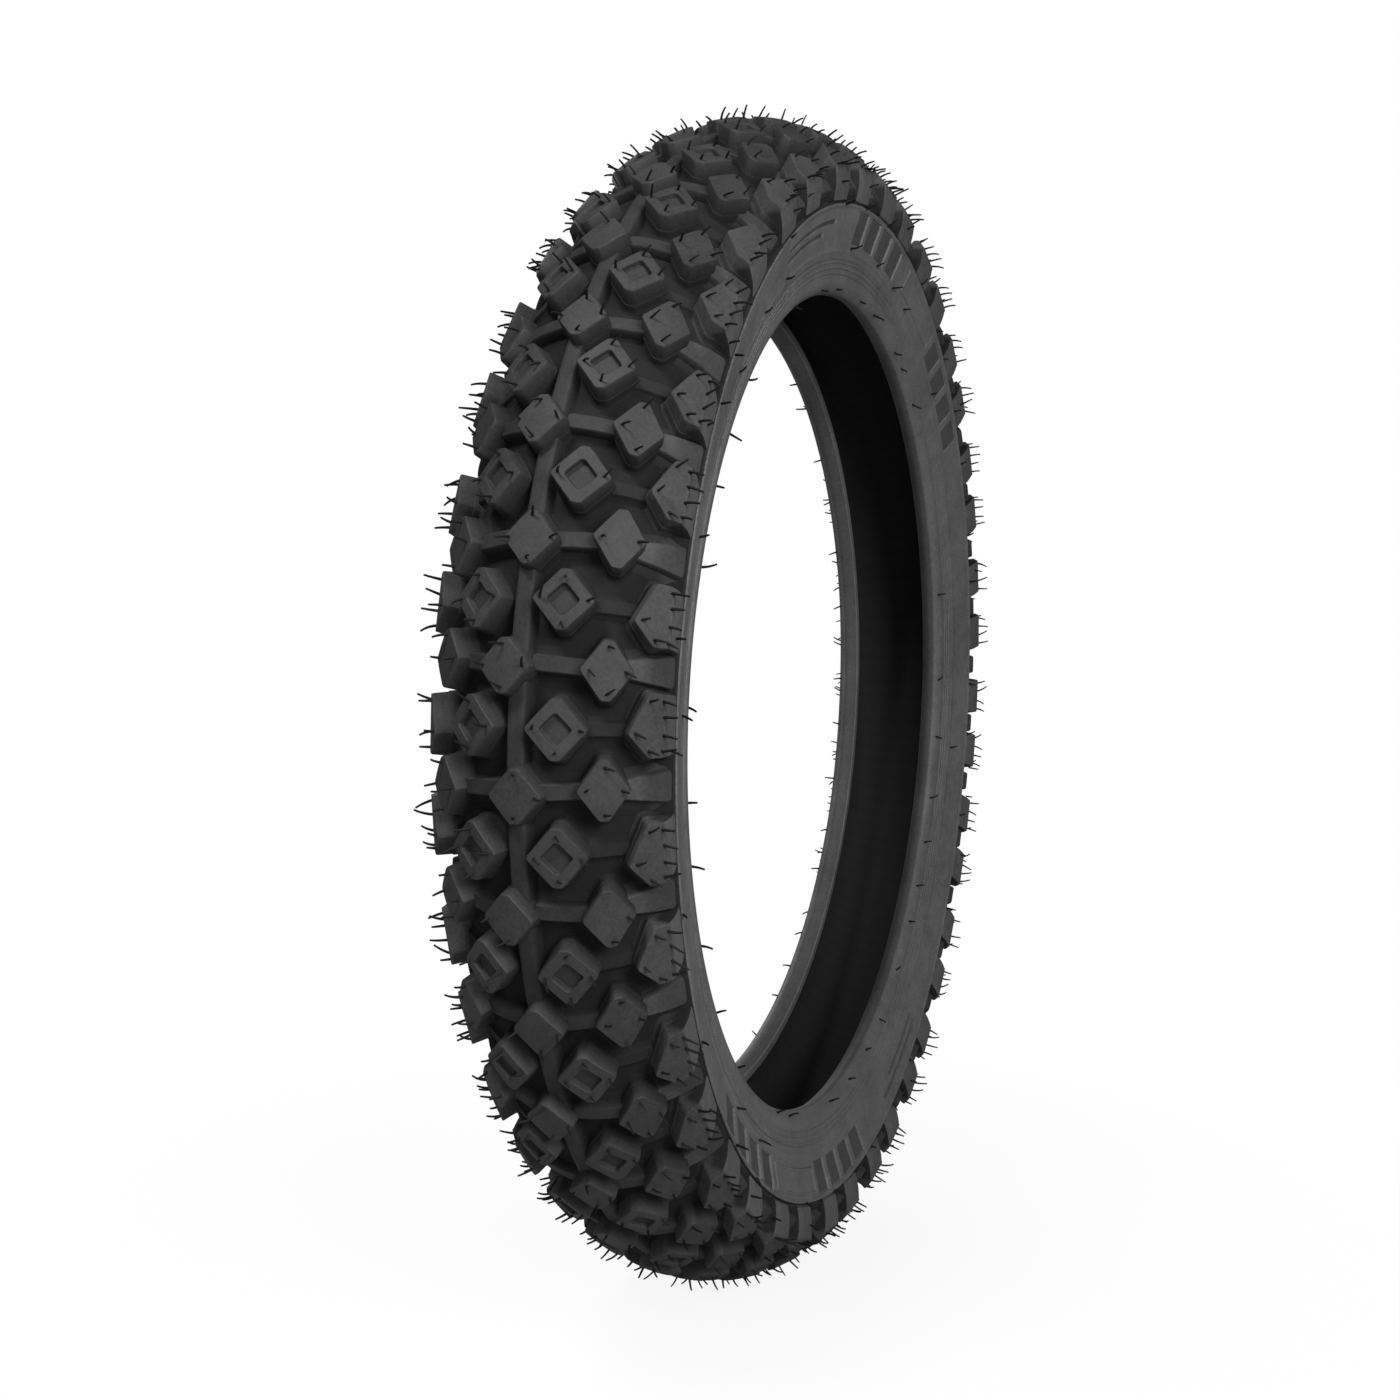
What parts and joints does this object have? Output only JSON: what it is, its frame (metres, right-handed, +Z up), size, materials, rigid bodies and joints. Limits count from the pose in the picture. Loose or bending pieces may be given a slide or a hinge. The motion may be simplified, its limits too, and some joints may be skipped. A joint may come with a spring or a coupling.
{
  "type": "motorcycle tyre",
  "caption": "Off-road motorcycle tyre with diamond tread knobs, pocketed blocks, edge knobs down the shoulders, smooth sidewalls and wire beads round an open middle.",
  "frame": {"origin": "centre of the wheel, on the axle line, midway between the two sides", "axes": "+Y along the axle towards the right-hand side, +Z up, +X towards the front"},
  "size_m": [0.6408, 0.1064, 0.6408],
  "materials": {
    "tread": "matt moulded rubber",
    "sidewall": "satin moulded rubber",
    "chafer": "satin rubber over woven strip",
    "liner": "dull airtight rubber",
    "ply": "rubberised nylon cord",
    "breaker": "rubberised nylon cord",
    "bead_wire": "bronze-coated steel wire",
    "bead_rubber": "hard rubber"
  },
  "bodies": {
    "root": {"inner_liner": "liner", "carcass_ply_inner": "ply", "carcass_ply_outer": "ply", "breaker_lower": "breaker", "breaker_upper": "breaker", "bead_wires_left": "bead_wire", "bead_wires_right": "bead_wire", "bead_insulation_left": "bead_rubber", "bead_insulation_right": "bead_rubber", "bead_filler_left": "bead_rubber", "bead_filler_right": "bead_rubber", "chafer_left": "chafer", "chafer_right": "chafer", "sidewall_left": "sidewall", "sidewall_right": "sidewall", "tread_base": "tread", "centre_rib": "tread", "centre_knobs": "tread", "pocket_knobs_left": "tread", "pocket_knobs_right": "tread", "shoulder_knobs_left": "tread", "shoulder_knobs_right": "tread", "edge_knobs_left": "tread", "edge_knobs_right": "tread", "tie_bars_left": "tread", "tie_bars_right": "tread", "edge_ties_left": "tread", "edge_ties_right": "tread", "shoulder_lands_left": "tread", "shoulder_lands_right": "tread"}
  },
  "joints": []
}
